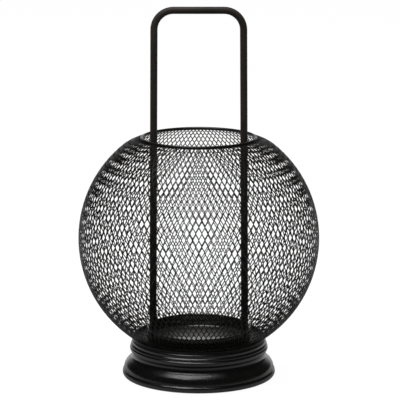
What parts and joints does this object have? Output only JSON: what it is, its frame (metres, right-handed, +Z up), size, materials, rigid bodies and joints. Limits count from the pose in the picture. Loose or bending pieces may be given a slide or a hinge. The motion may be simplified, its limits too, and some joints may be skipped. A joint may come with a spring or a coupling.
{
  "type": "candle lantern",
  "caption": "Candle lantern with an open mesh globe on a moulded round foot, a candle cup inside, and a tall bent rod handle.",
  "frame": {"origin": "on the floor, at the centre of the foot", "axes": "+Z up the lantern's axis, X through the handle's two legs, and the front looks along +Y from -Y"},
  "size_m": [0.2828, 0.2828, 0.436],
  "materials": {
    "foot_paint": "black satin paint, semi-gloss",
    "inner_paint": "black satin paint on the deck and the cup",
    "rod_paint": "black satin paint on the bent rod",
    "mesh_paint": "black satin paint on expanded steel mesh",
    "plated_steel": "zinc plated",
    "felt": "black pressed felt"
  },
  "bodies": {
    "root": {"base_shell": "foot_paint", "deck_plate": "inner_paint", "candle_cup": "inner_paint", "mesh_globe": "mesh_paint", "collar_ring": "mesh_paint", "rim_ring": "mesh_paint", "handle": "rod_paint", "handle_washers": "plated_steel", "handle_screws": "plated_steel", "felt_pad_1": "felt", "felt_pad_2": "felt", "felt_pad_3": "felt", "felt_pad_4": "felt"}
  },
  "joints": []
}
